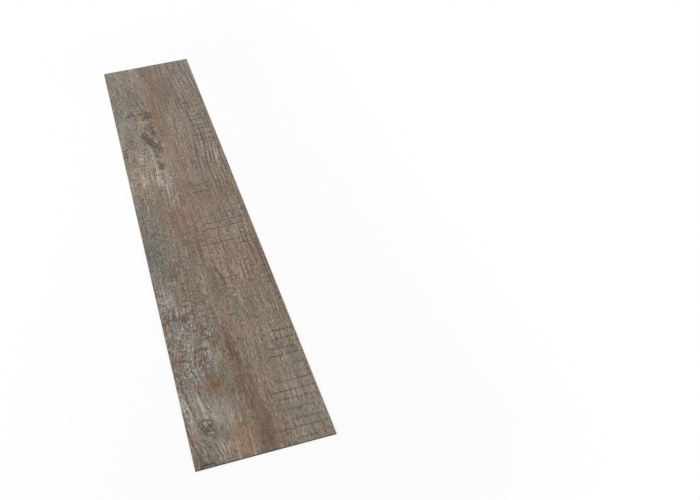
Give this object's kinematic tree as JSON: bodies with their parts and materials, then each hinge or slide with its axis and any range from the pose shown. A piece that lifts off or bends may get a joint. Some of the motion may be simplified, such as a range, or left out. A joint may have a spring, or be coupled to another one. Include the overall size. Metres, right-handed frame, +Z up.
{
  "type": "vinyl floor plank",
  "caption": "Long, thin rectangular floor plank of flexible vinyl with a weathered-wood printed face, a dark core showing on its square-cut edges and a slightly rolled upper rim.",
  "frame": {"origin": "middle of the underside, the face that is bonded to the floor", "axes": "+X across the plank, +Y along its length away from the end nearest the viewer, +Z up out of the printed wear face"},
  "size_m": [0.1842, 1.2192, 0.002],
  "materials": {
    "printed_vinyl": "matte"
  },
  "bodies": {
    "root": {"vinyl_plank": "printed_vinyl"}
  },
  "joints": []
}
